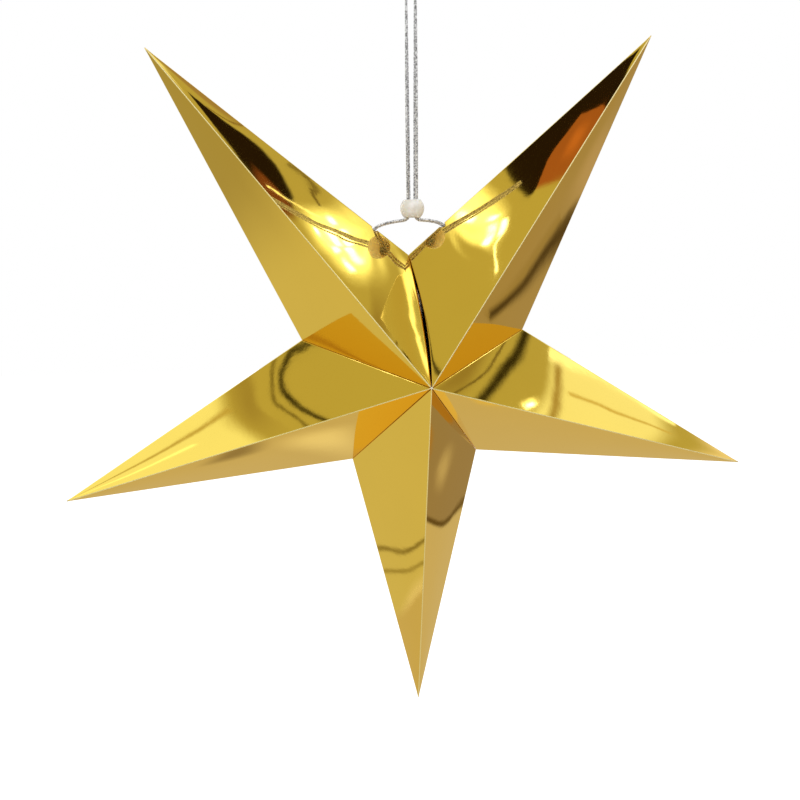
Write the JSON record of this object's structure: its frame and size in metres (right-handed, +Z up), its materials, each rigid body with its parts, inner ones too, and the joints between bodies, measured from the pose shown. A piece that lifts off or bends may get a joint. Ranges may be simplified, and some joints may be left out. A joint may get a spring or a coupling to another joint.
{
  "type": "folded paper star ornament",
  "caption": "Hanging five-point star folded from gold mirror card, on a doubled silver cord that slides through a pearly bead.",
  "frame": {"origin": "where the cord's loop rests on its hook, above the middle of the star", "axes": "+Z up along the hanging cord, front of the star towards -Y, +X to the right seen from the front"},
  "size_m": [0.4524, 0.14, 0.4702],
  "materials": {
    "mirror_card": "gold mirror foil laminated on card",
    "silver_cord": "metallic silver braid",
    "pearl_bead": "translucent pearly plastic"
  },
  "bodies": {
    "star": {"point_upper_left": "mirror_card", "point_upper_right": "mirror_card", "point_right": "mirror_card", "point_bottom": "mirror_card", "point_left": "mirror_card", "cord_front": "silver_cord", "cord_back": "silver_cord", "left_knot": "silver_cord", "right_knot": "silver_cord"},
    "bead": {"bead": "pearl_bead"}
  },
  "joints": [
    {"name": "bead_slide", "type": "slide", "parent": "star", "child": "bead", "axis": [0, 0, 1], "range_m": [0, 0.11]}
  ]
}
